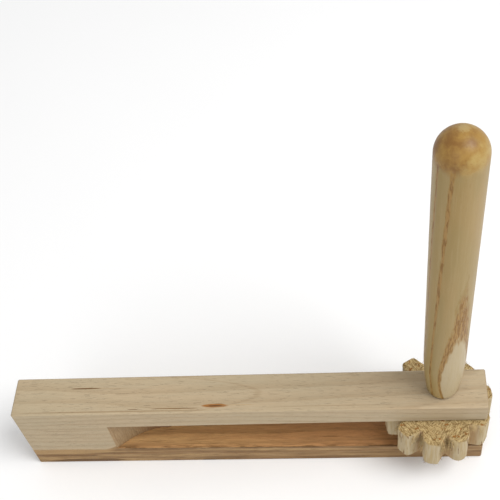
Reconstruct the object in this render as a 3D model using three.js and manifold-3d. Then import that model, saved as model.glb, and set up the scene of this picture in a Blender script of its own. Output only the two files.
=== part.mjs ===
// Wooden ratchet rattle (cog rattle), the hand-swung noisemaker.
//
// A forked wooden frame holds a toothed wheel between its two arms. The wheel sits on a dowel that
// runs up into the handle. Swinging the frame round the handle drags a springy wooden tongue over
// the teeth of the wheel.
//
// Millimetres, +Z up. The frame lies along X on the outer face of its lower arm, with the wheel at
// its +X end, and the handle stands up from the upper arm. The origin is the centre of the lower
// arm's outer face.

import * as THREE from "three";
import { mergeVertices } from "three/addons/utils/BufferGeometryUtils.js";
import Module from "manifold-3d";

const wasm = await Module();
wasm.setup();

// ---- Driving dimensions ----

const FRAME_LENGTH = 200;
const FRAME_THICKNESS = 18;
const FRAME_WIDTH = 45;
const LOWER_ARM_ROOT = 13.1;
const LOWER_ARM_TIP = 11.2;
const UPPER_ARM_ROOT = 11.7;
const UPPER_ARM_TIP = 10.3;
const SLOT_LENGTH = 161;
const EASED_EDGE = 0.5;

const RAMP_ANGLE = 37;
const RAMP_HOLLOW_RADIUS = 30;
const RAMP_STEPS = 8;
const LIP = 0.7;

const AXLE_FROM_END = 18;
const AXLE_OFFSET_Y = 1.1;
const AXLE_RADIUS = 4.8;
const AXLE_END_RECESS = 0.6;
const AXLE_EASED_END = 0.6;
const AXLE_TOP_GAP = 1;
const RUNNING_CLEARANCE = 0.25;
const GLUE_LINE = 0.15;

const TEETH = 10;
const WHEEL_RADIUS = 22.9;
const VALLEY_RADIUS = 17.2;
const TOOTH_TIP_HALF_ANGLE = 7.5;
const VALLEY_HALF_ANGLE = 1.1;
const TOOTH_PHASE = 10;
const TOOTH_DRIFT = 4;
const TOOTH_DRIFT_PHASE = 120;
const RIM_OFF_X = -1;
const RIM_OFF_Y = 0.5;
const TOOTH_CORNER = 0.5;
const WHEEL_WIDTH = 18;
const WHEEL_TO_UPPER_ARM = 0.6;

const TONGUE_Y = 3.5;
const TONGUE_THICKNESS = 2.6;
const TONGUE_SIDE_CLEARANCE = 0.9;
const TONGUE_ENGAGEMENT = 1.8;
const TONGUE_ROOT_X = -83;
const MORTISE_ROOT_GAP = 1;
const MORTISE_OPEN_X = -21;

const HANDLE_LENGTH = 148;
const HANDLE_GAP = 0.4;
const HANDLE_ROOT_RADIUS = 6.6;
const HANDLE_ROOT_ROUND = 1.2;
const HANDLE_NECK_RADIUS = 8.3;
const HANDLE_NECK_LENGTH = 24;
const HANDLE_RADIUS = 8.7;
const HANDLE_BORE_DEPTH = 32;
const ROOT_ROUND_STEPS = 4;
const NECK_STEPS = 8;
const DOME_STEPS = 12;

const BRAD_RADIUS = 0.8;
const BRAD_HEAD_RADIUS = 1.3;
const BRAD_HEAD_HEIGHT = 0.8;
const BRAD_POINT = 1.6;
const BRAD_CLEARANCE = 0.15;
const TONGUE_BRAD_LENGTH = 12;
const TONGUE_BRAD_SPACING = 11;
const TONGUE_BRAD_X = -74;
const TONGUE_BRAD_SINK = 0.3;
const WHEEL_BRAD_LENGTH = 25;
const WHEEL_BRAD_SINK = 0.4;
const WHEEL_BRAD_TOOTH = 1;
const BRAD_HOLE_EXTRA = 0.3;

const ROUND_SIDES = 64;
const BRAD_SIDES = 20;

// How far cutting shapes reach past the face they cut.
const OVERCUT = 5;

// ---- Places worked out from them ----

const HALF_LENGTH = FRAME_LENGTH / 2;
const HALF_THICKNESS = FRAME_THICKNESS / 2;
const SLOT_END_X = HALF_LENGTH - SLOT_LENGTH;
const SLOT_MIDDLE = (LOWER_ARM_ROOT + FRAME_WIDTH - UPPER_ARM_ROOT) / 2;
const AXLE_X = HALF_LENGTH - AXLE_FROM_END;
const WHEEL_TOP = slotRoof(AXLE_X - WHEEL_RADIUS) - WHEEL_TO_UPPER_ARM;
const WHEEL_MIDDLE = WHEEL_TOP - WHEEL_WIDTH / 2;
const TONGUE_TIP_X = AXLE_X - WHEEL_RADIUS + TONGUE_ENGAGEMENT;
const KERF_UP_Y = TONGUE_Y - TONGUE_THICKNESS / 2 - GLUE_LINE;
const KERF_DOWN_Y = TONGUE_Y + TONGUE_THICKNESS / 2 + GLUE_LINE;
const radians = THREE.MathUtils.degToRad;

// The slot opens slightly towards the wheel, because both arms thin out.
function slotFloor(x) {
  return LOWER_ARM_ROOT + ((LOWER_ARM_TIP - LOWER_ARM_ROOT) * (x - SLOT_END_X)) / SLOT_LENGTH;
}

function slotRoof(x) {
  const arm = UPPER_ARM_ROOT + ((UPPER_ARM_TIP - UPPER_ARM_ROOT) * (x - SLOT_END_X)) / SLOT_LENGTH;
  return FRAME_WIDTH - arm;
}

// ---- Joining and cutting ----

function toSolid(geometry) {
  const bare = geometry.clone();
  bare.deleteAttribute("normal");
  bare.deleteAttribute("uv");
  const merged = mergeVertices(bare, 1e-4);
  const vertProperties = new Float32Array(merged.attributes.position.array);
  const triVerts = new Uint32Array(merged.index.array);
  return new wasm.Manifold(new wasm.Mesh({ numProp: 3, vertProperties, triVerts }));
}

function toGeometry(solid) {
  const mesh = solid.getMesh();
  const geometry = new THREE.BufferGeometry();
  geometry.setAttribute("position", new THREE.BufferAttribute(mesh.vertProperties, 3));
  geometry.setIndex(new THREE.BufferAttribute(mesh.triVerts, 1));
  return geometry;
}

function cut(blank, cutters) {
  let solid = toSolid(blank);
  for (const cutter of cutters) solid = solid.subtract(toSolid(cutter));
  return toGeometry(solid);
}

// ---- Simple shapes ----

function box(x0, x1, y0, y1, z0, z1) {
  const geometry = new THREE.BoxGeometry(x1 - x0, y1 - y0, z1 - z0);
  return geometry.translate((x0 + x1) / 2, (y0 + y1) / 2, (z0 + z1) / 2);
}

// A round bar along Z.
function bar(radius, z0, z1, x = 0, y = 0, sides = ROUND_SIDES) {
  const geometry = new THREE.CylinderGeometry(radius, radius, z1 - z0, sides);
  return geometry.rotateX(Math.PI / 2).translate(x, y, (z0 + z1) / 2);
}

// An outline of [x, y] points drawn in the XY plane and given a height along Z.
function slab(points, z0, z1) {
  const shape = new THREE.Shape(points.map(([x, y]) => new THREE.Vector2(x, y)));
  const geometry = new THREE.ExtrudeGeometry(shape, { depth: z1 - z0, bevelEnabled: false });
  return geometry.translate(0, 0, z0);
}

// A profile of [radius, z] points turned round the Z axis.
function turned(profile, sides = ROUND_SIDES) {
  const points = profile.map(([radius, z]) => new THREE.Vector2(radius, z));
  return new THREE.LatheGeometry(points, sides).rotateX(Math.PI / 2);
}

// A block whose twelve edges are all eased by a small flat.
function easedBlock(length, thickness, width, ease) {
  const x = length / 2 - ease;
  const y = thickness / 2 - ease;
  const outline = [
    [-x, -y - ease], [x, -y - ease], [x + ease, -y], [x + ease, y],
    [x, y + ease], [-x, y + ease], [-x - ease, y], [-x - ease, -y],
  ];
  const inner = outline.map(([px, py]) => [px * (1 - ease / x), py * (1 - ease / y)]);
  const layers = [[inner, 0], [outline, ease], [outline, width - ease], [inner, width]];
  return loft(layers);
}

// Closed skin over a stack of convex outlines with the same number of points.
function loft(layers) {
  const count = layers[0][0].length;
  const positions = layers.flatMap(([outline, z]) => outline.flatMap(([x, y]) => [x, y, z]));
  const index = [];
  for (let layer = 0; layer < layers.length - 1; layer++) {
    for (let i = 0; i < count; i++) {
      const a = layer * count + i;
      const b = layer * count + ((i + 1) % count);
      index.push(a, b, b + count, a, b + count, a + count);
    }
  }
  const top = (layers.length - 1) * count;
  for (let i = 1; i < count - 1; i++) {
    index.push(0, i + 1, i);
    index.push(top, top + i, top + i + 1);
  }
  const geometry = new THREE.BufferGeometry();
  geometry.setAttribute("position", new THREE.Float32BufferAttribute(positions, 3));
  geometry.setIndex(index);
  return geometry;
}

// ---- Frame ----

// Side outline of the hollow that a slanting cut leaves at the closed end of the slot. It starts
// on the outer face, slopes in, and levels out on the tongue's kerf. side is -1 or +1 along Y.
function rampOutline(side, lipY) {
  const face = side * HALF_THICKNESS;
  const depth = Math.abs(lipY - face) - LIP;
  const angle = radians(RAMP_ANGLE);
  const levelling = RAMP_HOLLOW_RADIUS * (1 - Math.cos(angle));
  const straight = Math.max(depth - levelling, 0);
  const points = [[SLOT_END_X, face]];
  const arcX = SLOT_END_X + straight / Math.tan(angle);
  const turn = Math.acos(1 - Math.min(depth, levelling) / RAMP_HOLLOW_RADIUS);
  for (let i = 0; i <= RAMP_STEPS; i++) {
    const a = turn * (1 - i / RAMP_STEPS);
    const x = arcX + RAMP_HOLLOW_RADIUS * (Math.sin(turn) - Math.sin(a));
    const sunk = depth - RAMP_HOLLOW_RADIUS * (1 - Math.cos(a));
    points.push([x, face - side * sunk]);
  }
  return points;
}

// An outline in the XY plane that fills the slot from its floor to its roof.
function betweenArms(outline) {
  const geometry = slab(outline, 0, 1);
  const position = geometry.attributes.position;
  for (let i = 0; i < position.count; i++) {
    const x = position.getX(i);
    position.setZ(i, position.getZ(i) > 0 ? slotRoof(x) : slotFloor(x));
  }
  return geometry;
}

// The block is open from the end of each hollow to the wheel end.
function slotCutters() {
  const beyond = HALF_LENGTH + OVERCUT;
  const outside = HALF_THICKNESS + OVERCUT;
  const cutters = [];
  for (const [side, lipY] of [[-1, KERF_UP_Y], [1, KERF_DOWN_Y]]) {
    const ramp = rampOutline(side, lipY);
    const lipX = ramp[ramp.length - 1][0];
    const outline = [
      [SLOT_END_X, side * outside], ...ramp,
      [lipX, TONGUE_Y], [beyond, TONGUE_Y], [beyond, side * outside],
    ];
    if (side > 0) outline.reverse();
    cutters.push(betweenArms(outline));
  }
  return cutters;
}

// The kerf that the tongue's root is glued into.
function mortise() {
  const closedX = TONGUE_ROOT_X - MORTISE_ROOT_GAP;
  return betweenArms([
    [closedX, KERF_UP_Y], [MORTISE_OPEN_X, KERF_UP_Y],
    [MORTISE_OPEN_X, KERF_DOWN_Y], [closedX, KERF_DOWN_Y],
  ]);
}

function frameGeometry() {
  const blank = easedBlock(FRAME_LENGTH, FRAME_THICKNESS, FRAME_WIDTH, EASED_EDGE);
  const shaftHole = bar(
    AXLE_RADIUS + RUNNING_CLEARANCE, -OVERCUT, FRAME_WIDTH + OVERCUT, AXLE_X, AXLE_OFFSET_Y);
  return cut(blank, [...slotCutters(), mortise(), shaftHole, ...tongueBradHoles()]);
}

// ---- Tongue ----

function tongueGeometry() {
  const blank = box(
    TONGUE_ROOT_X, TONGUE_TIP_X,
    TONGUE_Y - TONGUE_THICKNESS / 2, TONGUE_Y + TONGUE_THICKNESS / 2,
    LOWER_ARM_ROOT + TONGUE_SIDE_CLEARANCE,
    FRAME_WIDTH - UPPER_ARM_ROOT - TONGUE_SIDE_CLEARANCE);
  return cut(blank, tongueBradHoles());
}

// ---- Wheel ----

// Direction of a tooth in degrees. The teeth crowd together slightly on one side of the wheel.
function toothAngle(i) {
  const even = TOOTH_PHASE + (i * 360) / TEETH;
  return even + TOOTH_DRIFT * Math.cos(radians(even - TOOTH_DRIFT_PHASE));
}

// Direction of the middle of the valley before a tooth.
function valleyAngle(i) {
  return (toothAngle(i - 1) + toothAngle(i)) / 2;
}

// A point of the toothed rim. The hole is drilled slightly off the middle of the rim.
function rimPoint(radius, degrees) {
  const angle = radians(degrees);
  return [RIM_OFF_X + radius * Math.cos(angle), RIM_OFF_Y + radius * Math.sin(angle)];
}

// One tooth after another: flat-bottomed valley, straight flank, and a tip with eased corners.
function wheelOutline() {
  const ease = THREE.MathUtils.radToDeg(TOOTH_CORNER / WHEEL_RADIUS);
  const points = [];
  for (let i = 0; i < TEETH; i++) {
    const start = toothAngle(i) - TOOTH_TIP_HALF_ANGLE;
    const end = toothAngle(i) + TOOTH_TIP_HALF_ANGLE;
    const corners = [
      [valleyAngle(i) + VALLEY_HALF_ANGLE, VALLEY_RADIUS],
      [start - ease / 3, WHEEL_RADIUS - TOOTH_CORNER], [start + ease, WHEEL_RADIUS],
      [toothAngle(i) - TOOTH_TIP_HALF_ANGLE / 3, WHEEL_RADIUS],
      [toothAngle(i) + TOOTH_TIP_HALF_ANGLE / 3, WHEEL_RADIUS],
      [end - ease, WHEEL_RADIUS], [end + ease / 3, WHEEL_RADIUS - TOOTH_CORNER],
      [valleyAngle(i + 1) - VALLEY_HALF_ANGLE, VALLEY_RADIUS],
    ];
    for (const [angle, radius] of corners) points.push(rimPoint(radius, angle));
  }
  return points;
}

function wheelGeometry() {
  const blank = slab(wheelOutline(), -WHEEL_WIDTH / 2, WHEEL_WIDTH / 2);
  const bore = bar(AXLE_RADIUS + GLUE_LINE, -WHEEL_WIDTH, WHEEL_WIDTH);
  return cut(blank, [bore, wheelBradHole()]);
}

// ---- Axle and handle ----

function axleGeometry() {
  const bottom = AXLE_END_RECESS;
  const top = FRAME_WIDTH + HANDLE_GAP + HANDLE_BORE_DEPTH - AXLE_TOP_GAP;
  const inner = AXLE_RADIUS - AXLE_EASED_END;
  const dowel = turned([
    [0, bottom], [inner, bottom], [AXLE_RADIUS, bottom + AXLE_EASED_END],
    [AXLE_RADIUS, top - AXLE_EASED_END], [inner, top], [0, top],
  ]);
  const hole = wheelBradHole().translate(0, 0, WHEEL_MIDDLE);
  return cut(dowel, [hole]);
}

// Turned grip: rounded root, neck swelling to the full thickness, and a round end.
function handleGeometry() {
  const root = FRAME_WIDTH + HANDLE_GAP;
  const boreRadius = AXLE_RADIUS + GLUE_LINE;
  const roundStart = FRAME_WIDTH + HANDLE_LENGTH - HANDLE_RADIUS;
  const profile = [[0, root + HANDLE_BORE_DEPTH], [boreRadius, root + HANDLE_BORE_DEPTH]];
  profile.push([boreRadius, root], [HANDLE_ROOT_RADIUS - HANDLE_ROOT_ROUND, root]);
  for (let i = 1; i <= ROOT_ROUND_STEPS; i++) {
    const a = (i / ROOT_ROUND_STEPS) * (Math.PI / 2);
    profile.push([
      HANDLE_ROOT_RADIUS - HANDLE_ROOT_ROUND * (1 - Math.sin(a)),
      root + HANDLE_ROOT_ROUND * (1 - Math.cos(a)),
    ]);
  }
  const neckStart = root + HANDLE_ROOT_ROUND;
  for (let i = 1; i <= NECK_STEPS; i++) {
    const t = i / NECK_STEPS;
    const swell = Math.sin((t * Math.PI) / 2);
    profile.push([
      HANDLE_ROOT_RADIUS + (HANDLE_NECK_RADIUS - HANDLE_ROOT_RADIUS) * swell,
      neckStart + HANDLE_NECK_LENGTH * t,
    ]);
  }
  for (let i = 0; i <= DOME_STEPS; i++) {
    const a = (i / DOME_STEPS) * (Math.PI / 2);
    profile.push([HANDLE_RADIUS * Math.cos(a), roundStart + HANDLE_RADIUS * Math.sin(a)]);
  }
  profile[profile.length - 1][0] = 0;
  return turned(profile);
}

// ---- Brads ----

// A wire nail pointing along +Z, with the top of its head at z = 0.
function bradGeometry(length) {
  return turned([
    [0, 0], [BRAD_HEAD_RADIUS, 0], [BRAD_HEAD_RADIUS, BRAD_HEAD_HEIGHT],
    [BRAD_RADIUS, BRAD_HEAD_HEIGHT], [BRAD_RADIUS, length - BRAD_POINT], [0, length],
  ], BRAD_SIDES);
}

// The hole that a brad of this length sits in, open above its head.
function bradHole(length) {
  const shank = BRAD_RADIUS + BRAD_CLEARANCE;
  const head = BRAD_HEAD_RADIUS + BRAD_CLEARANCE;
  const seat = BRAD_HEAD_HEIGHT + BRAD_CLEARANCE;
  const end = length + BRAD_HOLE_EXTRA;
  return turned([
    [0, -OVERCUT], [head, -OVERCUT], [head, seat], [shank, seat], [shank, end], [0, end],
  ], BRAD_SIDES);
}

const tongueBradPlaces = [-1, 1].map((side) => SLOT_MIDDLE + (side * TONGUE_BRAD_SPACING) / 2);

// The tongue's brads are driven in the -Y direction, from the face away from the open hollow.
function tongueBradHoles() {
  return tongueBradPlaces.map((z) => bradHole(TONGUE_BRAD_LENGTH)
    .rotateX(Math.PI / 2)
    .translate(TONGUE_BRAD_X, HALF_THICKNESS - TONGUE_BRAD_SINK, z));
}

// The wheel's brad starts in a valley and crosses the dowel. It lies in the wheel's own frame.
function intoValley(geometry) {
  const [x, y] = rimPoint(VALLEY_RADIUS, valleyAngle(WHEEL_BRAD_TOOTH + 1));
  return geometry
    .rotateY(-Math.PI / 2)
    .translate(Math.hypot(x, y) - WHEEL_BRAD_SINK, 0, 0)
    .rotateZ(Math.atan2(y, x));
}

function wheelBradHole() {
  return intoValley(bradHole(WHEEL_BRAD_LENGTH));
}

// ---- The assembly ----

function piece(name, geometry, color, roughness, metalness = 0) {
  const material = new THREE.MeshStandardMaterial({ color, roughness, metalness });
  const mesh = new THREE.Mesh(geometry, material);
  mesh.name = name;
  return mesh;
}

function frameAndTongue() {
  const parts = new THREE.Group();
  parts.add(piece("frame", frameGeometry(), 0xc9ad86, 0.6));
  parts.add(piece("tongue", tongueGeometry(), 0xd4b98c, 0.65));
  tongueBradPlaces.forEach((z, i) => {
    const brad = piece(`tongue_brad_${i + 1}`, bradGeometry(TONGUE_BRAD_LENGTH), 0xa7a9ab, 0.35, 1);
    brad.rotation.x = Math.PI / 2;
    brad.position.set(TONGUE_BRAD_X, HALF_THICKNESS - TONGUE_BRAD_SINK, z);
    parts.add(brad);
  });
  return parts;
}

// Everything that turns with the handle, about a vertical line through the wheel.
function turningParts() {
  const parts = new THREE.Group();
  parts.position.set(AXLE_X, AXLE_OFFSET_Y, 0);
  const wheel = piece("cog_wheel", wheelGeometry(), 0xd8bd84, 0.8);
  wheel.position.z = WHEEL_MIDDLE;
  parts.add(wheel);
  const brad = piece("wheel_brad", intoValley(bradGeometry(WHEEL_BRAD_LENGTH)), 0xa7a9ab, 0.35, 1);
  brad.position.z = WHEEL_MIDDLE;
  parts.add(brad);
  parts.add(piece("axle", axleGeometry(), 0xcdb185, 0.55));
  parts.add(piece("handle", handleGeometry(), 0xc2a676, 0.35));
  return parts;
}

const group = new THREE.Group();
group.add(frameAndTongue());
group.add(turningParts());

export default group;
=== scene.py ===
import math
import random

import bmesh
import bpy
from mathutils import Matrix, Quaternion, Vector, noise


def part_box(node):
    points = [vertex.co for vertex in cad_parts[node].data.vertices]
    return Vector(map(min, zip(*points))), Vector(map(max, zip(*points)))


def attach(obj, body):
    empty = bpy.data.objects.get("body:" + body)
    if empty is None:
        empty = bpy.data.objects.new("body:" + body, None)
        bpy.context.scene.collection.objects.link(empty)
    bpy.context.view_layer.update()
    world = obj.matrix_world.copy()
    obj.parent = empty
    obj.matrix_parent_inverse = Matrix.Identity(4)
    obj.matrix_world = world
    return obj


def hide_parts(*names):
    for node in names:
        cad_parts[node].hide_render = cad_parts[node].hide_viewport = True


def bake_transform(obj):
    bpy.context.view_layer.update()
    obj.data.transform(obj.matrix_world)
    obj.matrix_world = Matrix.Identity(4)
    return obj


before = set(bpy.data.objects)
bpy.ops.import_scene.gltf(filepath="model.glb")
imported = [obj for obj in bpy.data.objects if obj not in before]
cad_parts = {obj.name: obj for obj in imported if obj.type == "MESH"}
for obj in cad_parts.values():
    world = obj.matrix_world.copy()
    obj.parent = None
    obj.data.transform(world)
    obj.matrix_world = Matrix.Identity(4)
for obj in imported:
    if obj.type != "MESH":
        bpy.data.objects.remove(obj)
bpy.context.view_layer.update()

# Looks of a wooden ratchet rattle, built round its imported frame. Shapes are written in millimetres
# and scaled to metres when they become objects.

MM = 0.001

# ---- Places, in millimetres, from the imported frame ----


def box_mm(node):
    low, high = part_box(node)
    return low / MM, high / MM


FRAME_LOW, FRAME_HIGH = box_mm("frame")
FRONT = FRAME_LOW.y
TOP = FRAME_HIGH.z
WHEEL_LOW, WHEEL_HIGH = box_mm("cog_wheel")
TONGUE_LOW, TONGUE_HIGH = box_mm("tongue")
AXLE_LOW, AXLE_HIGH = box_mm("axle")
HANDLE_LOW, HANDLE_HIGH = box_mm("handle")
AXIS = (AXLE_LOW + AXLE_HIGH) / 2
AXLE_RADIUS = (AXLE_HIGH.x - AXLE_LOW.x) / 2
HANDLE_RADIUS = (HANDLE_HIGH.x - HANDLE_LOW.x) / 2

GLUE_GAP = 0.15

TEETH = 10
TOOTH_PHASE = 10
TOOTH_DRIFT = 4
TOOTH_DRIFT_PHASE = 120
RIM_OFF = Vector((-1.0, 0.5))
WHEEL_RADIUS = 22.9
VALLEY_RADIUS = 17.2
TIP_HALF_ANGLE = 7.5
VALLEY_HALF_ANGLE = 1.1
WHEEL_BORE = AXLE_RADIUS + GLUE_GAP

SLOT_LENGTH = 161
SLOT_END_X = -61
LOWER_ARM_ROOT = 13.1
LOWER_ARM_TIP = 11.2
FLOOR_SLOPE = (LOWER_ARM_TIP - LOWER_ARM_ROOT) / SLOT_LENGTH
HEARTWOOD_TOP = 16.9
HEARTWOOD_DROP = 4.6
CLOSED_END = (-57, -67)

HANDLE_ROOT_RADIUS = 6.6
HANDLE_ROOT_ROUND = 1.2
HANDLE_NECK_RADIUS = 8.3
HANDLE_NECK_LENGTH = 24
HANDLE_BORE_DEPTH = 32


# ---- Meshes ----


def new_object(name, mesh, body, replaced):
    """A finished mesh, in millimetres, becomes a piece that rides on a body."""
    mesh.transform(Matrix.Scale(MM, 4))
    piece = bpy.data.objects.new(name, mesh)
    bpy.context.scene.collection.objects.link(piece)
    if body:
        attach(piece, body)
    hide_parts(replaced)
    return piece


def mesh_from(name, points, faces, smooth=True):
    mesh = bpy.data.meshes.new(name)
    mesh.from_pydata([tuple(p) for p in points], [], faces)
    mesh.validate()
    for polygon in mesh.polygons:
        polygon.use_smooth = smooth
    return mesh


def even_shading(piece, sharp_degrees=40):
    """Broad faces keep their own direction, so only the rounded edges shade smoothly."""
    piece.data.set_sharp_from_angle(angle=math.radians(sharp_degrees))
    modifier = piece.modifiers.new("even_shading", "WEIGHTED_NORMAL")
    modifier.keep_sharp = True


def turned_mesh(name, profile, sides, wobble=0.0):
    """A profile of (radius, z) points turned about the wheel's axis, with the lathe's faint unevenness."""
    points, faces = [], []
    rings = []
    for radius, z in profile:
        if radius < 1e-6:
            rings.append([len(points)])
            points.append((AXIS.x, AXIS.y, z))
            continue
        ring = []
        for i in range(sides):
            angle = 2 * math.pi * i / sides
            place = Vector((math.cos(angle), math.sin(angle), z * 0.12))
            uneven = wobble * noise.noise(place * 1.7)
            ring.append(len(points))
            points.append((
                AXIS.x + (radius + uneven) * math.cos(angle),
                AXIS.y + (radius + uneven) * math.sin(angle),
                z,
            ))
        rings.append(ring)
    for lower, upper in zip(rings, rings[1:]):
        for i in range(sides):
            j = (i + 1) % sides
            a, b = lower[i % len(lower)], lower[j % len(lower)]
            c, d = upper[j % len(upper)], upper[i % len(upper)]
            corners = list(dict.fromkeys((a, b, c, d)))
            if len(corners) > 2:
                faces.append(corners)
    return mesh_from(name, points, faces)


def arc(cx, cz, radius, start, end, steps):
    """Points (radius, z) of an arc in a turned profile, angles in degrees from outwards to up."""
    points = []
    for i in range(steps + 1):
        angle = math.radians(start + (end - start) * i / steps)
        points.append((cx + radius * math.cos(angle), cz + radius * math.sin(angle)))
    return points


# ---- Node materials ----


class Nodes:
    """A material's node tree, written as nested calls."""

    def __init__(self, name):
        self.material = bpy.data.materials.new(name)
        self.material.use_nodes = True
        self.tree = self.material.node_tree
        self.tree.nodes.clear()
        self.output = self.tree.nodes.new("ShaderNodeOutputMaterial")

    def put(self, socket, value):
        if isinstance(value, bpy.types.NodeSocket):
            self.tree.links.new(value, socket)
        else:
            socket.default_value = value

    def node(self, kind, inputs, **settings):
        made = self.tree.nodes.new(kind)
        for key, value in settings.items():
            setattr(made, key, value)
        for key, value in inputs.items():
            self.put(made.inputs[key], value)
        return made

    def place(self):
        """Position on the piece at rest, in millimetres."""
        here = self.node("ShaderNodeTexCoord", {}).outputs["Object"]
        return self.vector("MULTIPLY", here, (1000, 1000, 1000))

    def vector(self, operation, a, b):
        made = self.node("ShaderNodeVectorMath", {0: a, 1: b}, operation=operation)
        return made.outputs["Vector"]

    def length(self, vector):
        return self.node("ShaderNodeVectorMath", {0: vector}, operation="LENGTH").outputs["Value"]

    def math(self, operation, a, b=0.0):
        made = self.node("ShaderNodeMath", {0: a, 1: b}, operation=operation)
        return made.outputs[0]

    def add(self, a, b):
        return self.math("ADD", a, b)

    def minus(self, a, b):
        return self.math("SUBTRACT", a, b)

    def times(self, a, b):
        return self.math("MULTIPLY", a, b)

    def over(self, a, b):
        return self.math("DIVIDE", a, b)

    def absolute(self, a):
        return self.math("ABSOLUTE", a)

    def square(self, a):
        return self.math("POWER", a, 2.0)

    def split(self, vector):
        made = self.node("ShaderNodeSeparateXYZ", {0: vector})
        return made.outputs[0], made.outputs[1], made.outputs[2]

    def noise(self, vector, scale, detail=3.0, rough=0.55, distortion=0.0):
        made = self.node("ShaderNodeTexNoise", {
            "Vector": vector, "Scale": scale, "Detail": detail,
            "Roughness": rough, "Distortion": distortion,
        })
        return made.outputs["Fac"]

    def spread(self, value, low, high, out_low=0.0, out_high=1.0, smooth=True):
        """value from low..high to out_low..out_high, eased at both ends."""
        kind = "SMOOTHSTEP" if smooth else "LINEAR"
        made = self.node("ShaderNodeMapRange", {
            "Value": value, "From Min": low, "From Max": high,
            "To Min": out_low, "To Max": out_high,
        }, interpolation_type=kind)
        return made.outputs[0]

    def mix(self, share, a, b, blend="MIX"):
        made = self.node("ShaderNodeMix", {}, data_type="RGBA", blend_type=blend)
        self.put(made.inputs["Factor"], share)
        self.put(made.inputs["A"], self.colour(a))
        self.put(made.inputs["B"], self.colour(b))
        return made.outputs["Result"]

    @staticmethod
    def colour(value):
        return (*value, 1.0) if isinstance(value, tuple) and len(value) == 3 else value

    def bump(self, height, distance_mm, strength=1.0, normal=None):
        inputs = {"Height": height, "Distance": distance_mm * MM, "Strength": strength}
        if normal is not None:
            inputs["Normal"] = normal
        return self.node("ShaderNodeBump", inputs).outputs["Normal"]

    def surface(self, colour, roughness, normal, **constants):
        made = self.node("ShaderNodeBsdfPrincipled", {
            "Base Color": colour, "Roughness": roughness, "Normal": normal, **constants,
        })
        self.tree.links.new(made.outputs[0], self.output.inputs["Surface"])
        return self.material


def along(n, place, stretch, axis):
    """Coordinates squeezed along one axis, so that a noise of them is drawn out into grain."""
    scale = [1.0, 1.0, 1.0]
    scale["xyz".index(axis)] = 1 / stretch
    return n.vector("MULTIPLY", place, tuple(scale))


def pores(n, place, axis, length, scale, low, high):
    """Short dark dashes of open pores along the grain."""
    return n.spread(n.noise(along(n, place, length, axis), scale, 2.0, 0.5), low, high)


def lens(n, place, centre, half_length, half_width, half_depth, ragged=0.25):
    """A soft mask, 1 inside a lens-shaped streak lying along X."""
    offset = n.vector("SUBTRACT", place, centre)
    x, y, z = n.split(offset)
    ragged_noise = n.minus(n.noise(along(n, place, 8, "x"), 0.9, 3.0), 0.5)
    total = n.square(n.absolute(n.over(x, half_length)))
    for part, half in ((y, half_width), (z, half_depth)):
        total = n.add(total, n.square(n.absolute(n.over(part, half))))
    total = n.add(total, n.times(ragged_noise, ragged * 4))
    return n.spread(total, 1.0, 0.45)


PALE = (0.436, 0.353, 0.230)
PALE_PINK = (0.456, 0.350, 0.222)
PALE_GREY = (0.400, 0.334, 0.226)
GRAIN_BROWN = (0.270, 0.180, 0.092)
HEART = (0.262, 0.148, 0.060)
HEART_TAN = (0.420, 0.268, 0.120)
HEART_DARK = (0.140, 0.072, 0.026)
HEART_RED = (0.455, 0.228, 0.093)
HEART_ORANGE = (0.630, 0.375, 0.158)
KNOT = (0.290, 0.115, 0.022)
KNOT_CORE = (0.070, 0.030, 0.012)
BORDER_TAN = (0.480, 0.350, 0.215)
RAMP_TAN = (0.365, 0.250, 0.135)
RAMP_BROWN = (0.280, 0.180, 0.090)
RAMP_PAINTED_SHADE = (0.235, 0.125, 0.055)
END_TAN = (0.340, 0.245, 0.140)
END_BROWN = (0.240, 0.155, 0.080)

# Streaks that this board shows: centre, half length, half width across the grain, strength, colour.
STREAKS = (
    ((-52, -7.9, TOP), 48, 0.38, 0.65, GRAIN_BROWN),
    ((38, -6.9, TOP), 34, 0.26, 0.40, GRAIN_BROWN),
    ((-29, -6.9, TOP), 12, 0.26, 1.00, (0.200, 0.115, 0.045)),
    ((-47, -7.0, TOP), 2.6, 0.20, 0.80, HEART_DARK),
    ((-69, 3.5, TOP), 7.4, 0.34, 1.00, HEART_DARK),
    ((-57, 3.3, TOP), 11, 0.18, 0.45, GRAIN_BROWN),
    ((-12.4, -5.9, TOP), 6.4, 1.05, 0.95, KNOT),
    ((-12.2, -6.0, TOP), 3.8, 0.34, 0.85, KNOT_CORE),
    ((-2, -5.7, TOP), 7.0, 0.22, 0.40, HEART_TAN),
    ((-76, FRONT, 1.6), 20, 1.90, 0.95, HEART_DARK),
    ((-84, FRONT, 6.4), 17, 0.90, 0.55, HEART_DARK),
    ((-62, FRONT, 8.6), 13, 0.90, 0.50, HEART_DARK),
    ((-40, FRONT, 6.8), 12, 0.90, 0.55, HEART_DARK),
    ((-12, FRONT, 3.2), 16, 1.00, 0.50, HEART_DARK),
    ((-21, FRONT, 0.8), 3.6, 0.90, 0.90, HEART_DARK),
    ((36, FRONT, 2.0), 17, 1.30, 0.60, HEART_DARK),
    ((52, FRONT, 6.0), 15, 1.10, 0.50, HEART_DARK),
    ((-10, FRONT, 36.0), 9, 0.30, 0.45, GRAIN_BROWN),
    ((22, FRONT, 35.4), 11, 0.30, 0.45, GRAIN_BROWN),
    ((-82, FRONT, 30.0), 12, 0.30, 0.40, GRAIN_BROWN),
    ((-78, FRONT, 36.5), 14, 0.25, 0.35, GRAIN_BROWN),
)


PITH_Y = 34
PITH_Z = -30
BOARD_RING = 3.1


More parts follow.
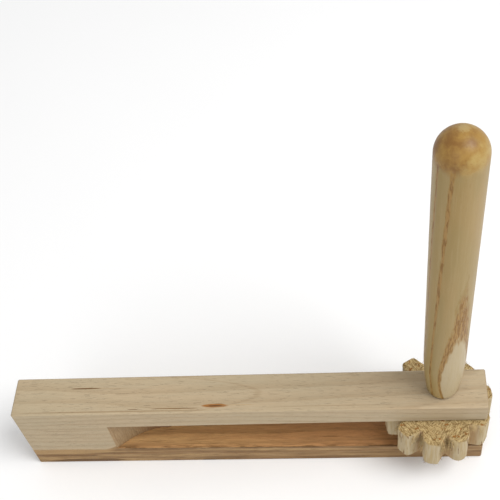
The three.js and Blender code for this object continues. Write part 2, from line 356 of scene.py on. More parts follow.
def board_growth(n, place, x):
    """Late wood of the growth rings, round a pith well below and behind the board."""
    drift = n.noise(along(n, place, 7, "x"), 0.035, 2.0)
    across = n.vector("MULTIPLY", n.vector("ADD", place, (0, -PITH_Y, -PITH_Z)), (0, 1, 1))
    reach = n.add(n.length(across), n.times(drift, 13.0))
    reach = n.add(reach, n.times(x, 0.012))
    phase = n.math("FRACT", n.over(reach, BOARD_RING))
    return n.times(n.spread(phase, 0.35, 0.93), n.spread(phase, 1.0, 0.94))


def sapwood(n, place, late, fine, hair, pore):
    """Pale greyish tan with a faint pink cast in patches."""
    cloud = n.noise(along(n, place, 4, "x"), 0.05, 3.0)
    pale = n.mix(n.spread(cloud, 0.35, 0.68), PALE, PALE_PINK)
    pale = n.mix(n.spread(fine, 0.42, 0.72, 0.0, 0.55), pale, PALE_GREY)
    pale = n.mix(n.times(late, 0.26), pale, GRAIN_BROWN)
    pale = n.mix(n.spread(hair, 0.34, 0.58, 0.24, 0.0), pale, GRAIN_BROWN)
    return n.mix(n.times(pore, 0.25), pale, HEART_DARK)


def heartwood(n, place, late, hair, pore):
    """Brown, banded and flecked along the grain."""
    band = n.noise(along(n, place, 22, "x"), 0.42, 4.0, 0.62)
    fleck = n.noise(along(n, place, 9, "x"), 0.95, 4.0, 0.66)
    brown = n.mix(n.spread(band, 0.38, 0.60), HEART_TAN, HEART)
    brown = n.mix(n.spread(fleck, 0.52, 0.68, 0.0, 0.60), brown, HEART_DARK)
    brown = n.mix(n.spread(fleck, 0.44, 0.32, 0.0, 0.45), brown, HEART_TAN)
    brown = n.mix(n.times(late, 0.35), brown, HEART_DARK)
    brown = n.mix(n.spread(hair, 0.36, 0.60, 0.35, 0.0), brown, HEART_DARK)
    return n.mix(n.times(pore, 0.5), brown, HEART_DARK)


def slot_floor_wood(n, place, x, late, hair):
    """The redder wood that the slot was cut through. It runs from orange at its closed end to a darker red
    towards the wheel, partly the wood's own tone and partly painted shade from the wheel.
    """
    band = n.noise(along(n, place, 20, "x"), 0.30, 4.0, 0.6)
    fleck = n.noise(along(n, place, 12, "x"), 0.8, 4.0, 0.66)
    # Painted shade, partly the wood's own tone: the floor darkens from HEART_ORANGE to HEART_RED towards
    # the wheel.
    red = n.mix(n.spread(x, -45, 55), HEART_ORANGE, HEART_RED)
    red = n.mix(n.spread(band, 0.42, 0.62, 0.0, 0.6), red, HEART_RED)
    red = n.mix(n.times(late, 0.45), red, HEART)
    red = n.mix(n.spread(fleck, 0.54, 0.70, 0.0, 0.55), red, HEART_DARK)
    return n.mix(n.spread(hair, 0.38, 0.62, 0.32, 0.0), red, HEART_DARK)


def streaks(n, place, colour):
    """Lay the board's own streaks over a colour, each on its own face."""
    for centre, half_length, half_width, strength, tone in STREAKS:
        on_top = centre[2] == TOP
        width, depth = (half_width, 3.0) if on_top else (3.0, half_width)
        mask = lens(n, place, centre, half_length, width, depth)
        colour = n.mix(n.times(mask, strength), colour, tone)
    return colour


ARCH_X = 6


def arch(n, x, y, z, wander):
    """One growth ring that shows as a long arch on the top face."""
    bow = n.times(n.square(n.over(n.add(y, 0.5), 7.6)), 26.0)
    line = n.add(n.add(x, bow), n.times(wander, 10.0))
    line = n.minus(line, ARCH_X)
    return n.times(n.spread(n.absolute(line), 2.6, 0.2), n.spread(z, TOP - 1.0, TOP - 0.4))


def slot_wood(n, place, late, hair, above_floor, brown):
    """The slot's floor, and the dark, ragged stain along the lower arm's inner arris."""
    x, y, _ = n.split(place)
    inside = n.times(n.spread(n.absolute(above_floor), 0.35, 0.15),
                     n.spread(x, SLOT_END_X - 1, SLOT_END_X + 1))
    inside = n.times(inside, n.spread(y, FRONT + 0.05, FRONT + 0.3))
    brown = n.mix(inside, brown, slot_floor_wood(n, place, x, late, hair))
    arris = n.add(n.absolute(n.add(above_floor, 0.2)), n.times(n.absolute(n.minus(y, FRONT)), 0.7))
    ragged = n.noise(along(n, place, 9, "x"), 0.8, 4.0, 0.65)
    stain = n.times(n.spread(arris, 1.9, 0.2), n.spread(ragged, 0.42, 0.56))
    return n.mix(n.times(stain, 0.85), brown, HEART_DARK)


def two_woods(n, place, wander, brown, pale):
    """Brown heartwood below and pale sapwood above. Their border drops and softens at the closed end."""
    x, y, z = n.split(place)
    border = n.add(n.add(z, n.times(wander, 4.0)), n.times(y, 0.06))
    border = n.add(border, n.spread(x, *CLOSED_END, 0.0, HEARTWOOD_DROP))
    blanched = n.spread(x, *CLOSED_END, 0.0, 0.75)
    fading = n.spread(border, HEARTWOOD_TOP - 5.0, HEARTWOOD_TOP - 1.5, 0.0, blanched)
    brown = n.mix(fading, brown, HEART_TAN)
    colour = n.mix(n.spread(border, HEARTWOOD_TOP - 1.4, HEARTWOOD_TOP - 0.1), brown, pale)
    pale_line = n.spread(n.absolute(n.minus(border, HEARTWOOD_TOP + 0.2)), 0.7, 0.2)
    return n.mix(n.times(pale_line, 0.5), colour, BORDER_TAN)


def ramp(n, place, above_floor, marks, colour):
    """The slope at the slot's end keeps the cutter's marks across the grain, and darkens away from the
    slot's closed end as painted shade. Also returns its mask.
    """
    x, y, z = n.split(place)
    mask = n.times(n.spread(x, SLOT_END_X - 0.2, SLOT_END_X + 0.4), n.spread(x, -37.0, -38.0))
    mask = n.times(mask, n.spread(above_floor, 0.05, 0.35))
    mask = n.times(mask, n.spread(z, 33.5, 33.2))
    mask = n.times(mask, n.spread(n.absolute(y), -FRONT - 0.05, -FRONT - 0.3))
    tone = n.mix(n.spread(marks, 0.30, 0.70), RAMP_TAN, RAMP_BROWN)
    # Painted shade: the ramp turns darker towards x = -42, away from the slot's closed end.
    tone = n.mix(n.spread(x, -54, -42), tone, RAMP_PAINTED_SHADE)
    return n.mix(mask, colour, tone), mask


def end_grain(n, place, colour):
    """Both ends of the board are darker."""
    x = n.split(place)[0]
    ends = n.spread(n.absolute(x), FRAME_HIGH.x - 0.6, FRAME_HIGH.x - 0.1)
    speck = n.noise(place, 2.4, 3.0, 0.65)
    tone = n.mix(n.spread(speck, 0.4, 0.7), END_TAN, END_BROWN)
    return n.mix(n.times(ends, 0.75), colour, tone)


def frame_wood():
    """One planed board: pale sapwood under the handle, brown heartwood along the other arm."""
    n = Nodes("frame_wood")
    place = n.place()
    x, y, z = n.split(place)
    late = board_growth(n, place, x)
    fine = n.noise(along(n, place, 34, "x"), 1.5, 4.0, 0.6)
    hair = n.noise(along(n, place, 40, "x"), 5.0, 3.0, 0.6)
    pore = pores(n, place, "x", 16, 4.5, 0.62, 0.73)
    marks = n.noise(along(n, place, 12, "z"), 1.7, 3.0)
    wander = n.minus(n.noise(along(n, place, 9, "x"), 0.10, 3.0), 0.5)
    slot_floor = n.add(n.times(n.minus(x, SLOT_END_X), FLOOR_SLOPE), LOWER_ARM_ROOT)
    above_floor = n.minus(z, slot_floor)

    pale = sapwood(n, place, late, fine, hair, pore)
    brown = heartwood(n, place, late, hair, pore)
    brown = slot_wood(n, place, late, hair, above_floor, brown)
    colour = two_woods(n, place, wander, brown, pale)
    colour = streaks(n, place, colour)
    colour = n.mix(n.times(arch(n, x, y, z, wander), 0.26), colour, GRAIN_BROWN)
    colour, in_ramp = ramp(n, place, above_floor, marks, colour)
    colour = end_grain(n, place, colour)

    height = n.add(n.times(fine, 0.5), n.times(hair, 0.5))
    height = n.minus(height, n.times(pore, 0.6))
    height = n.add(height, n.times(n.times(marks, in_ramp), 1.5))
    rough = n.spread(fine, 0.3, 0.7, 0.52, 0.66)
    return n.surface(colour, rough, n.bump(height, 0.12), **{"Specular IOR Level": 0.22})


def ring_distance(n, place, pith, lean):
    """Distance from the pith of the stick that a turned piece came from, drifting along its length."""
    z = n.split(place)[2]
    flat = n.vector("MULTIPLY", n.vector("SUBTRACT", place, pith), (1, 1, 0))
    drift = n.minus(n.noise(along(n, place, 9, "z"), 0.09, 2.0), 0.5)
    reach = n.add(n.length(flat), n.times(drift, 0.9))
    flare = n.times(n.spread(z, 104, 52), n.spread(reach, 28.0, 30.6))
    reach = n.add(reach, n.times(flare, 1.75))
    return n.minus(reach, n.times(n.minus(z, TOP), lean))


ASH_TAN = (0.302, 0.196, 0.062)
ASH_PALE = (0.385, 0.290, 0.148)
ASH_GREY = (0.430, 0.345, 0.210)
ASH_OLIVE = (0.272, 0.186, 0.058)
ASH_PORE = (0.185, 0.084, 0.006)
ASH_ORANGE = (0.330, 0.165, 0.034)
AMBER = (0.318, 0.184, 0.044)
AMBER_DARK = (0.205, 0.098, 0.022)
AMBER_LIGHT = (0.375, 0.258, 0.086)
AMBER_TIP = (0.410, 0.310, 0.135)


# The year's growth that starts inside the handle, its width, and the pale lens and last row beyond it,
# as distances from the pith of the stick.
PITH_OFFSET = (-10.9, 21.4)
YEAR_START = 30.5
YEAR_WIDTH = 4.2
LENS_START = 31.3
LAST_ROW = 33.2


def year_rows(n, place):
    """Distance from the pith, distance since the year's start, and the band where each year starts."""
    reach = ring_distance(n, place, (AXIS.x + PITH_OFFSET[0], AXIS.y + PITH_OFFSET[1], 0), 0.025)
    ragged = n.minus(n.noise(along(n, place, 5, "z"), 0.8, 3.0), 0.5)
    reach = n.add(reach, n.times(ragged, 0.9))
    since_start = n.add(n.minus(reach, YEAR_START), 10 * YEAR_WIDTH)
    since_start = n.math("MODULO", since_start, YEAR_WIDTH)
    early = n.times(n.spread(since_start, 0.0, 0.35), n.spread(since_start, 1.15, 0.75))
    last_row = n.times(n.spread(reach, LAST_ROW, LAST_ROW + 0.3),
                       n.spread(reach, LAST_ROW + 1.1, LAST_ROW + 0.8))
    return reach, since_start, n.math("MAXIMUM", early, last_row)


def handle_side(n, place, fine, reach, since_start, early, rows):
    """Olive tan ash with orange-brown rows of pores, and the pale lens at the handle's foot."""
    tiny = pores(n, place, "z", 12, 5.0, 0.60, 0.72)
    cloud = n.noise(along(n, place, 5, "z"), 0.11, 2.0)
    lens_mask = n.times(n.spread(reach, LENS_START, LENS_START + 0.4),
                        n.spread(reach, LAST_ROW + 0.8, LAST_ROW + 0.1, 0.4, 1.0))
    colour = n.mix(n.spread(cloud, 0.38, 0.62), ASH_TAN, ASH_OLIVE)
    colour = n.mix(n.times(n.spread(since_start, 1.2, 3.9), 0.25), colour, ASH_PALE)
    colour = n.mix(n.times(lens_mask, 0.90), colour, ASH_GREY)
    colour = n.mix(n.spread(fine, 0.45, 0.75, 0.0, 0.35), colour, ASH_PALE)
    colour = n.mix(n.times(early, 0.60), colour, ASH_ORANGE)
    colour = n.mix(n.times(rows, 0.85), colour, ASH_PORE)
    return n.mix(n.times(tiny, 0.18), colour, ASH_PORE)


def dome_stain(n, place, early, colour):
    """Amber lacquer soaked into the dome's end grain, with a paler patch at its tip. The amber is also
    painted lighter towards +x, the key lamp's side, and darker towards -x, as painted light and shade.
    """
    x, _, z = n.split(place)
    mottle = n.noise(place, 0.22, 4.0, 0.6)
    dots = n.noise(place, 2.6, 2.0, 0.5)
    edge = n.add(z, n.times(n.minus(mottle, 0.5), 7.0))
    edge = n.add(edge, n.times(early, 3.5))
    soaked = n.spread(edge, HANDLE_HIGH.z - 11.5, HANDLE_HIGH.z - 7.5)
    # Painted light and shade: side lightens the amber towards +x and darkens it towards -x.
    side = n.times(n.minus(x, AXIS.x), 0.018)
    amber = n.mix(n.spread(n.add(mottle, side), 0.28, 0.62), AMBER_DARK, AMBER)
    light = n.add(n.noise(place, 0.18, 3.0), side)
    amber = n.mix(n.spread(light, 0.46, 0.74), amber, AMBER_LIGHT)
    amber = n.mix(n.spread(dots, 0.55, 0.75, 0.0, 0.35), amber, AMBER_DARK)
    tip = n.length(n.vector("SUBTRACT", place, (AXIS.x + 0.2, AXIS.y + 1.9, HANDLE_HIGH.z - 0.2)))
    tip = n.add(tip, n.times(n.minus(dots, 0.5), 3.0))
    amber = n.mix(n.spread(tip, 2.6, 1.0, 0.0, 0.6), amber, AMBER_TIP)
    return n.mix(soaked, colour, amber)


def handle_wood():
    """Lacquered ash: brown rows of pores where each year's growth starts, amber end grain on the dome."""
    n = Nodes("handle_wood")
    place = n.place()
    z = n.split(place)[2]
    fine = n.noise(along(n, place, 26, "z"), 1.4, 4.0, 0.6)
    dash = pores(n, place, "z", 7, 1.7, 0.44, 0.60)
    reach, since_start, early = year_rows(n, place)
    below_dome = n.spread(z, HANDLE_HIGH.z - 6, HANDLE_HIGH.z - 12)
    rows = n.times(n.times(early, dash), below_dome)
    colour = handle_side(n, place, fine, reach, since_start, early, rows)
    colour = dome_stain(n, place, early, colour)
    height = n.minus(n.times(fine, 0.35), n.times(rows, 0.8))
    rough = n.spread(fine, 0.3, 0.7, 0.36, 0.48)
    return n.surface(colour, rough, n.bump(height, 0.12), **{"Specular IOR Level": 0.30})


STRAW = (0.560, 0.425, 0.215)
STRAW_MID = (0.415, 0.295, 0.130)
STRAW_DARK = (0.190, 0.115, 0.042)
TOOTH_GREY = (0.455, 0.372, 0.238)
TOOTH_TAN = (0.400, 0.300, 0.160)
RUST = (0.270, 0.110, 0.022)
CRACK_BROWN = (0.170, 0.085, 0.030)
VALLEY_PAINTED_SHADE = (0.340, 0.195, 0.080)


def strokes(n, local, angle, scale, stretch, offset):
    """Short fibres that all lie along one direction in the wheel's plane."""
    turned = n.node("ShaderNodeVectorRotate", {
        "Vector": n.vector("ADD", local, (offset, offset, 0)), "Angle": math.radians(angle),
    }, rotation_type="Z_AXIS").outputs[0]
    return n.noise(along(n, turned, stretch, "x"), scale, 2.0, 0.6, 0.3)


def sawn_face(n, local):
    """Colour and fibre pattern of the sawn end grain: fibres in two directions, rusty specks."""
    x = n.split(local)[0]
    left = strokes(n, local, 52, 2.6, 4.2, 0.0)
    right = strokes(n, local, -50, 2.9, 4.4, 31.0)
    which = n.spread(n.add(n.noise(local, 0.16, 2.0), n.times(x, -0.012)), 0.46, 0.60)
    fibre = n.add(n.times(left, which), n.times(right, n.minus(1.0, which)))
    face = n.mix(n.spread(fibre, 0.38, 0.50), STRAW_DARK, STRAW_MID)
    face = n.mix(n.spread(fibre, 0.50, 0.64), face, STRAW)
    specks = n.noise(n.vector("ADD", local, (7, 3, 0)), 0.55, 2.0, 0.5)
    return n.mix(n.spread(specks, 0.63, 0.69, 0.0, 0.9), face, RUST), fibre


def tooth_sides(n, local, fine, groove):
    """Grey-tan teeth with drying cracks, darker in the valleys as painted shade, and frayed along the
    upper edge.
    """
    z = n.split(local)[2]
    reach = n.length(n.vector("MULTIPLY", local, (1, 1, 0)))
    side = n.mix(n.spread(fine, 0.38, 0.66), TOOTH_GREY, TOOTH_TAN)
    side = n.mix(n.spread(groove, 0.58, 0.70, 0.0, 0.55), side, STRAW_MID)
    crack = pores(n, n.vector("ADD", local, (4, 9, 0)), "z", 9, 0.85, 0.61, 0.67)
    side = n.mix(n.times(crack, 0.80), side, CRACK_BROWN)
    # Painted shade: the flanks darken towards the bottoms of the valleys between the teeth.
    valley_shade_mask = n.spread(reach, 20.4, 17.6)
    side = n.mix(n.times(valley_shade_mask, 0.60), side, VALLEY_PAINTED_SHADE)
    frayed = n.times(n.spread(z, WHEEL_HIGH.z - 8, WHEEL_HIGH.z - 1), n.spread(reach, 21.6, 19.0))
    frayed = n.times(frayed, n.spread(groove, 0.42, 0.54))
    return n.mix(n.times(frayed, 0.85), side, STRAW)


def wheel_wood():
    """Sawn end grain, fibrous and straw-coloured, with smoother grey-tan teeth round it."""
    n = Nodes("wheel_wood")
    local = n.vector("SUBTRACT", n.place(), (AXIS.x, AXIS.y, 0))
    normal_z = n.split(n.node("ShaderNodeNewGeometry", {}).outputs["Normal"])[2]
    flat = n.spread(n.absolute(normal_z), 0.25, 0.55)
    fine = n.noise(along(n, local, 14, "z"), 1.3, 4.0, 0.6)
    groove = n.noise(along(n, local, 30, "z"), 0.75, 2.0, 0.5)
    face, fibre = sawn_face(n, local)
    colour = n.mix(flat, tooth_sides(n, local, fine, groove), face)
    height = n.add(n.times(fibre, flat), n.times(n.add(fine, groove), 0.12))
    return n.surface(colour, 0.82, n.bump(height, 0.55, 0.9), **{"Specular IOR Level": 0.2})


def plain_wood(name, pale, dark, axis):
    """Straight-grained bare wood, for the tongue and the dowel."""
    n = Nodes(name)
    place = n.place()
    fine = n.noise(along(n, place, 30, axis), 1.3, 4.0, 0.6)
    line = n.noise(along(n, place, 60, axis), 0.7, 2.0)
    pore = pores(n, place, axis, 14, 4.2, 0.62, 0.74)
    colour = n.mix(n.spread(fine, 0.35, 0.68), pale, dark)
    colour = n.mix(n.spread(line, 0.55, 0.66, 0.0, 0.35), colour, dark)
    colour = n.mix(n.times(pore, 0.4), colour, HEART_DARK)
    height = n.minus(fine, n.times(pore, 0.5))
    return n.surface(colour, 0.6, n.bump(height, 0.08), **{"Specular IOR Level": 0.3})


def brad_steel():
    """Bright wire, slightly tarnished."""
    n = Nodes("brad_steel")
    place = n.place()
    haze = n.noise(place, 1.8, 4.0, 0.6)
    colour = n.mix(n.spread(haze, 0.35, 0.7), (0.56, 0.55, 0.54), (0.33, 0.30, 0.27))
    rough = n.spread(haze, 0.3, 0.7, 0.28, 0.5)
    return n.surface(colour, rough, n.bump(haze, 0.03), Metallic=1.0)


def floor_paint():
    n = Nodes("floor_paint")
    haze = n.noise(n.place(), 0.01, 2.0)
    colour = n.mix(haze, (0.86, 0.86, 0.86), (0.88, 0.88, 0.88))
    return n.surface(colour, 0.9, n.bump(haze, 0.01), **{"Specular IOR Level": 0.1})


# ---- Pieces ----


def rounded_copy(node, name, round_mm, segments=3):
    """The CAD piece's exact shape with its edges rounded."""
    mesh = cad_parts[node].data.copy()
    mesh.name = name
    mesh.materials.clear()
    mesh.transform(Matrix.Scale(1 / MM, 4))
    shape = bmesh.new()
    shape.from_mesh(mesh)
    bmesh.ops.remove_doubles(shape, verts=shape.verts, dist=0.002)
    bmesh.ops.dissolve_limit(
        shape, angle_limit=math.radians(1), verts=shape.verts, edges=shape.edges)
    edges = [e for e in shape.edges
             if len(e.link_faces) == 2 and e.calc_face_angle(0) > math.radians(20)]
    bmesh.ops.bevel(
        shape, geom=edges, offset=round_mm, offset_type="OFFSET", segments=segments,
        profile=0.5, affect="EDGES", clamp_overlap=True)
    shape.to_mesh(mesh)
    shape.free()
    for polygon in mesh.polygons:
        polygon.use_smooth = True
    return mesh


def make_frame():
    mesh = rounded_copy("frame", "frame_board", 0.3)
    piece = new_object("frame_board", mesh, "frame_body", "frame")
    piece.data.materials.append(frame_wood())
    even_shading(piece)


def tooth_angle(i):
    """Direction of a tooth in degrees. The teeth crowd together slightly on one side of the wheel."""
    even = TOOTH_PHASE + i * 360 / TEETH
    return even + TOOTH_DRIFT * math.cos(math.radians(even - TOOTH_DRIFT_PHASE))


def valley_angle(i):
    return (tooth_angle(i - 1) + tooth_angle(i)) / 2


# How worn each tooth is, anticlockwise from the one at the frame's end: the rounding of its clockwise
# corner, the rounding of its other corner, and how much its tip has lost.
TOOTH_WEAR = (
    (1.6, 2.2, 0.2), (2.4, 1.4, 1.1), (1.1, 2.4, 0.3), (1.0, 0.9, 0.0), (2.2, 1.2, 0.2),
    (1.4, 0.8, 0.1), (0.7, 1.8, 0.2), (2.4, 0.6, 0.9), (3.6, 3.4, 0.9), (2.0, 1.5, 0.5),
)


def tooth_half(tooth, side, steps=11):
    """One flank, corner and half tip of a tooth, from the valley up, as points in the wheel's plane."""
    centre = math.radians(tooth_angle(tooth))
    edge = valley_angle(tooth + (side > 0)) - side * VALLEY_HALF_ANGLE
    wear = TOOTH_WEAR[tooth]
    corner, top = wear[1 if side > 0 else 0], WHEEL_RADIUS - wear[2]
    half_width = WHEEL_RADIUS * math.sin(math.radians(TIP_HALF_ANGLE)) - 0.1

    def polar(radius, angle):
        return Vector((radius * math.cos(angle), radius * math.sin(angle)))

    root = polar(VALLEY_RADIUS, math.radians(edge))
    tip = polar(top, centre + side * math.asin(half_width / top))
    start = tip.lerp(root, min(corner / (root - tip).length, 0.8))
    left = max(half_width - corner * 0.9, 0.15)
    across = polar(top, centre + side * math.asin(left / top))
    path = [root.lerp(start, i / steps) for i in range(steps)]
    for i in range(steps):
        t = i / steps
        path.append(start.lerp(tip, t).lerp(tip.lerp(across, t), t))
    path += [across.lerp(polar(top, centre), i / 4) for i in range(4)]
    return path


def wheel_outline():
    """Radius and angle points round the hole, tooth by tooth. The rim lies slightly off the hole."""
    outline = []
    for tooth in range(TEETH):
        for point in tooth_half(tooth, -1) + tooth_half(tooth, 1)[::-1]:
            point = point + RIM_OFF
            outline.append((point.length, math.atan2(point.y, point.x)))
    return outline


def fibrous(px, py, seed, rise=0.42):
    """Height of the sawn end grain at a point: short torn ridges in two crossing directions."""
    place = Vector((px, py, seed))
    which = 0.5 + 0.5 * noise.noise(place * 0.16)
    total = 0.0
    for angle, share in ((38, which), (-46, 1 - which)):
        a = math.radians(angle)
        u = px * math.cos(a) + py * math.sin(a)
        v = -px * math.sin(a) + py * math.cos(a)
        ridge = 1 - abs(noise.noise(Vector((u * 0.55, v * 2.1, seed))))
        total += share * (ridge ** 3 - 0.5)
    return rise * total + 0.12 * noise.noise(place * 2.1)


def wheel_side(outline, levels):
    points, faces = [], []
    count = len(outline)
    for level, (z, inset) in enumerate(levels):
        for radius, angle in outline:
            wave = 0.10 * noise.noise(Vector((math.cos(angle) * 9, math.sin(angle) * 9, z * 0.10)))
            r = radius - inset + wave - 0.12
            points.append((r * math.cos(angle), r * math.sin(angle), z))
    for level in range(len(levels) - 1):
        for i in range(count):
            j = (i + 1) % count
            a, b = level * count + i, level * count + j
            faces.append((a, b, b + count, a + count))
    return points, faces


def wheel_mesh():
    """Toothed disc with torn, fibrous sawn faces and a plain bore."""
    outline = wheel_outline()
    count = len(outline)
    low, high = WHEEL_LOW.z, WHEEL_HIGH.z
    levels = [(low + 0.15, 0.35), (low + 0.5, 0.1), (low + 1.2, 0.0)]
    levels += [(low + 1.2 + (high - low - 2.4) * i / 8, 0.0) for i in range(1, 9)]
    levels += [(high - 0.5, 0.1), (high - 0.15, 0.35)]
    points, faces = wheel_side(outline, levels)
    rings = 34

    def cap(first, z, up):
        """Rings of points from the rim in to the bore, pushed in and out by the torn grain."""
        previous = list(range(first, first + count))
        for ring in range(1, rings + 1):
            t = ring / rings
            current = []
            for radius, angle in outline:
                r = (radius - 0.45) * (1 - t) + WHEEL_BORE * t
                px, py = r * math.cos(angle), r * math.sin(angle)
                torn = fibrous(px, py, 3.0 if up else 11.0)
                current.append(len(points))
                points.append((px, py, z + (torn - 0.22 if up else -torn + 0.22)))
            for i in range(count):
                j = (i + 1) % count
                quad = (previous[i], previous[j], current[j], current[i])
                faces.append(quad if up else quad[::-1])
            previous = current
        return previous

    top_ring = cap((len(levels) - 1) * count, high, True)
    bottom_ring = cap(0, low, False)
    for i in range(count):
        j = (i + 1) % count
        faces.append((top_ring[i], top_ring[j], bottom_ring[j], bottom_ring[i]))
    shift = Vector((AXIS.x, AXIS.y, 0))
    return [Vector(p) + shift for p in points], faces


# How far a fibre curls up, as a share of its length.
CURL = 0.18


def splinter(points, faces, base, direction, up, length, width):
    """One loose fibre: a tapering, slightly curled sliver."""
    side = direction.cross(up).normalized()
    curl = up * length * CURL
    rows = 4
    first = len(points)
    for row in range(rows):
        t = row / rows
        middle = base + direction * length * t + curl * t * t
        w = width * (1 - 0.75 * t)
        for a, b in ((1, 0), (0, 1), (-1, 0), (0, -1)):
            points.append(middle + side * w * a * 0.5 + up * w * b * 0.5)
    points.append(base + direction * length + curl)
    tip = len(points) - 1
    for row in range(rows - 1):
        for i in range(4):
            a = first + row * 4 + i
            b = first + row * 4 + (i + 1) % 4
            faces.append((a, b, b + 4, a + 4))
    last = first + (rows - 1) * 4
    for i in range(4):
        faces.append((last + i, last + (i + 1) % 4, tip))
    faces.append((first + 3, first + 2, first + 1, first))


def room_to_rim(base):
    """How far a fibre can lean outwards from here before it leaves the wheel's own circle."""
    centre = Vector((AXIS.x + RIM_OFF.x, AXIS.y + RIM_OFF.y))
    return WHEEL_RADIUS - 0.25 - (base.to_2d() - centre).length


def face_splinters(rng, outline, points, faces, face_z, up, total):
    """Fibres torn up from a sawn face, most of them along the saw's two directions."""
    for _ in range(total):
        radius, angle = rng.choice(outline)
        at_rim = rng.random() < 0.45
        r = radius * (rng.uniform(0.93, 0.985) if at_rim else rng.uniform(0.3, 0.93))
        if r < WHEEL_BORE + 1.5:
            continue
        heading = math.radians(rng.choice((52, -50)) + rng.uniform(-25, 25) + rng.choice((0, 180)))
        if at_rim and rng.random() < 0.6:
            heading = angle + rng.uniform(-0.6, 0.6)
        base = Vector((AXIS.x + r * math.cos(angle), AXIS.y + r * math.sin(angle),
                       face_z - up * rng.uniform(0.15, 0.4)))
        length = min(rng.uniform(0.8, 2.2), max(room_to_rim(base), 0.2))
        direction = Vector((math.cos(heading), math.sin(heading), 0))
        splinter(points, faces, base, direction, Vector((0, 0, up)), length, rng.uniform(0.12, 0.26))


def hanging_splinters(rng, outline, points, faces, total, longest, thickest):
    """Fibres torn over the upper edge of the rim, lying down along the teeth and in the valleys."""
    for _ in range(total):
        radius, angle = rng.choice(outline)
        outward = Vector((math.cos(angle), math.sin(angle), 0))
        depth = rng.uniform(0.4, 0.8 * longest)
        base = Vector((AXIS.x, AXIS.y, WHEEL_HIGH.z - depth)) + outward * (radius - 0.35)
        length = rng.uniform(0.35, 1.0) * longest
        sway = Vector((rng.uniform(-0.25, 0.25), rng.uniform(-0.25, 0.25), -1))
        direction = (outward * rng.uniform(0.2, 0.8) + sway).normalized()
        while length > 0.3 and room_to_rim(base + (direction + outward * CURL) * length) < 0.2:
            length *= 0.8
        splinter(points, faces, base, direction, outward, length, rng.uniform(0.5, 1.0) * thickest)


# Where the saw tore the rim most: the middle of each place and its half width, in degrees.
TORN_VALLEYS = ((236, 9), (275, 8), (208, 5))
# The tongue has rubbed its valley clean.
TONGUE_VALLEY = 173
TONGUE_VALLEY_HALF = 20


def make_splinters():
    rng = random.Random(21)
    outline = wheel_outline()
    low = [place for place in outline
           if place[0] < WHEEL_RADIUS - 2.2
           and abs(math.degrees(place[1]) % 360 - TONGUE_VALLEY) > TONGUE_VALLEY_HALF]
    points, faces = [], []
    face_splinters(rng, outline, points, faces, face_z=WHEEL_HIGH.z, up=1, total=460)
    face_splinters(rng, outline, points, faces, face_z=WHEEL_LOW.z, up=-1, total=220)
    hanging_splinters(rng, low, points, faces, total=130, longest=4.5, thickest=0.30)
    for middle, reach in TORN_VALLEYS:
        torn = [place for place in low if abs(math.degrees(place[1]) % 360 - middle) < reach]
        hanging_splinters(rng, torn, points, faces, total=55, longest=7.0, thickest=0.46)
    return points, faces


def make_wheel():
    points, faces = wheel_mesh()
    extra_points, extra_faces = make_splinters()
    offset = len(points)
    points += extra_points
    faces += [tuple(i + offset for i in face) for face in extra_faces]
    mesh = mesh_from("wheel_teeth", points, faces)
    piece = new_object("wheel_teeth", mesh, "wheel_and_handle", "cog_wheel")
    piece.data.materials.append(wheel_wood())
    piece.data.set_sharp_from_angle(angle=math.radians(50))


def make_handle():
    root = HANDLE_LOW.z
    bore = AXLE_RADIUS + GLUE_GAP
    bore_end = root + HANDLE_BORE_DEPTH
    dome_z = HANDLE_HIGH.z - HANDLE_RADIUS
    profile = [(0, bore_end), (bore, bore_end), (bore, root)]
    profile += arc(HANDLE_ROOT_RADIUS - HANDLE_ROOT_ROUND, root + HANDLE_ROOT_ROUND,
                   HANDLE_ROOT_ROUND, -90, 0, 8)
    neck = root + HANDLE_ROOT_ROUND
    for i in range(1, 25):
        t = i / 24
        swell = math.sin(t * math.pi / 2)
        profile.append((HANDLE_ROOT_RADIUS + (HANDLE_NECK_RADIUS - HANDLE_ROOT_RADIUS) * swell,
                        neck + HANDLE_NECK_LENGTH * t))
    start = neck + HANDLE_NECK_LENGTH
    for i in range(1, 60):
        t = i / 60
        radius = HANDLE_NECK_RADIUS + (HANDLE_RADIUS - HANDLE_NECK_RADIUS) * t
        profile.append((radius, start + (dome_z - start) * t))
    dome = arc(0, dome_z, HANDLE_RADIUS, 0, 90, 24)
    profile += dome[:-1] + [(0, HANDLE_HIGH.z)]
    profile = [(max(r - 0.03, 0) if r > bore + 0.01 else r, z) for r, z in profile]
    mesh = turned_mesh("turned_handle", profile, 96, wobble=0.03)
    piece = new_object("turned_handle", mesh, "wheel_and_handle", "handle")
    piece.data.materials.append(handle_wood())
    piece.data.set_sharp_from_angle(angle=math.radians(50))


def make_axle():
    low, high = AXLE_LOW.z, AXLE_HIGH.z
    ease = 0.6
    profile = [(0, low), (AXLE_RADIUS * 0.5, low + 0.03), (AXLE_RADIUS - ease, low)]
    profile += arc(AXLE_RADIUS - ease, low + ease, ease, -90, 0, 5)[1:]
    for i in range(1, 20):
        profile.append((AXLE_RADIUS, low + ease + (high - low - 2 * ease) * i / 20))
    profile += arc(AXLE_RADIUS - ease, high - ease, ease, 0, 90, 5) + [(0, high)]
    mesh = turned_mesh("axle_dowel", profile, 72, wobble=0.01)
    piece = new_object("axle_dowel", mesh, "wheel_and_handle", "axle")
    piece.data.materials.append(plain_wood("axle_wood", (0.47, 0.35, 0.19), (0.36, 0.25, 0.12), "z"))
    piece.data.set_sharp_from_angle(angle=math.radians(50))


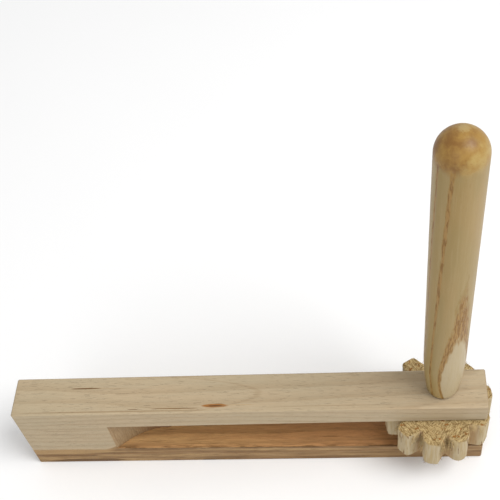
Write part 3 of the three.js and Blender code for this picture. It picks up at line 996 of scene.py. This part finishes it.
def make_tongue():
    """A thin slat with eased edges, in short lengths so that it can bend."""
    low, high = TONGUE_LOW, TONGUE_HIGH
    ease = 0.35
    y_mid, z_mid = (low.y + high.y) / 2, (low.z + high.z) / 2
    half_y, half_z = (high.y - low.y) / 2, (high.z - low.z) / 2
    section = []
    for cy, cz, start in ((1, 1, 0), (-1, 1, 90), (-1, -1, 180), (1, -1, 270)):
        for i in range(4):
            a = math.radians(start + 30 * i)
            section.append((y_mid + cy * (half_y - ease) + ease * math.cos(a),
                            z_mid + cz * (half_z - ease) + ease * math.sin(a)))
    steps = 90
    stations = [(low.x, 0.25)] + [(low.x + 0.25 + (high.x - low.x - 0.5) * i / steps, 0.0)
                                  for i in range(steps + 1)] + [(high.x, 0.25)]
    points, faces = [], []
    count = len(section)
    for x, inset in stations:
        for y, z in section:
            points.append((x, y + inset * (1 if y < y_mid else -1), z + inset * (1 if z < z_mid else -1)))
    for row in range(len(stations) - 1):
        for i in range(count):
            a, b = row * count + i, row * count + (i + 1) % count
            faces.append((a, b, b + count, a + count))
    faces.append(tuple(range(count))[::-1])
    faces.append(tuple(range((len(stations) - 1) * count, len(stations) * count)))
    mesh = mesh_from("tongue_slat", points, faces)
    piece = new_object("tongue_slat", mesh, None, "tongue")
    piece.data.materials.append(plain_wood("tongue_wood", (0.52, 0.40, 0.23), (0.41, 0.29, 0.15), "x"))
    piece.data.set_sharp_from_angle(angle=math.radians(50))
    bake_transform(piece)


def make_brads():
    steel = brad_steel()
    for node in ("tongue_brad_1", "tongue_brad_2", "wheel_brad"):
        body = "wheel_and_handle" if node == "wheel_brad" else "frame_body"
        mesh = rounded_copy(node, node + "_wire", 0.08, 2)
        piece = new_object(node + "_wire", mesh, body, node)
        piece.data.materials.append(steel)
        piece.data.set_sharp_from_angle(angle=math.radians(50))


# ---- Studio ----


FLOOR_SIZE = 6000


def make_floor():
    half = FLOOR_SIZE / 2
    corners = [(-half, -half, 0), (half, -half, 0), (half, half, 0), (-half, half, 0)]
    mesh = mesh_from("floor", corners, [(0, 1, 2, 3)], smooth=False)
    mesh.transform(Matrix.Scale(MM, 4))
    floor = bpy.data.objects.new("floor", mesh)
    floor.data.materials.append(floor_paint())
    bpy.context.scene.collection.objects.link(floor)


def area_light(name, place, target, size, power):
    light = bpy.data.lights.new(name, "AREA")
    light.shape = "DISK"
    light.size = size
    light.energy = power
    lamp = bpy.data.objects.new(name, light)
    lamp.location = place
    lamp.rotation_mode = "QUATERNION"
    lamp.rotation_quaternion = (Vector(target) - Vector(place)).to_track_quat("-Z", "Y")
    bpy.context.scene.collection.objects.link(lamp)


def make_lights():
    world = bpy.data.worlds.new("studio")
    world.use_nodes = True
    sky = world.node_tree.nodes["Background"]
    sky.inputs["Color"].default_value = (1.0, 1.0, 1.0, 1.0)
    sky.inputs["Strength"].default_value = 0.64
    bpy.context.scene.world = world
    area_light("key", (0.70, -0.25, 1.20), (0.02, 0, 0.05), 0.8, 13.5)
    area_light("fill", (-0.45, -1.0, 0.75), (0, 0, 0.05), 0.9, 2.4)


LENS = 70.27
SENSOR = 36
CAMERA_PLACE = (0.05254, -0.20198, 0.40125)
CAMERA_AZIMUTH = 9.979
CAMERA_ELEVATION = 52.779
CAMERA_ROLL = -9.908
SHIFT_X = -0.0268
SHIFT_Y = 0.0374


def make_camera():
    data = bpy.data.cameras.new("camera")
    data.lens = LENS
    data.sensor_width = SENSOR
    data.shift_x = SHIFT_X
    data.shift_y = SHIFT_Y
    data.clip_start, data.clip_end = 0.01, 20
    camera = bpy.data.objects.new("camera", data)
    a, e = math.radians(CAMERA_AZIMUTH), math.radians(CAMERA_ELEVATION)
    ahead = Vector((-math.sin(a) * math.cos(e), math.cos(a) * math.cos(e), -math.sin(e)))
    camera.location = CAMERA_PLACE
    camera.rotation_mode = "QUATERNION"
    roll = Quaternion((0, 0, 1), math.radians(CAMERA_ROLL))
    camera.rotation_quaternion = ahead.to_track_quat("-Z", "Y") @ roll
    bpy.context.scene.collection.objects.link(camera)
    bpy.context.scene.camera = camera


make_camera()
make_lights()
make_floor()
make_frame()
make_wheel()
make_handle()
make_axle()
make_tongue()
make_brads()
bpy.context.scene.view_settings.view_transform = "Standard"
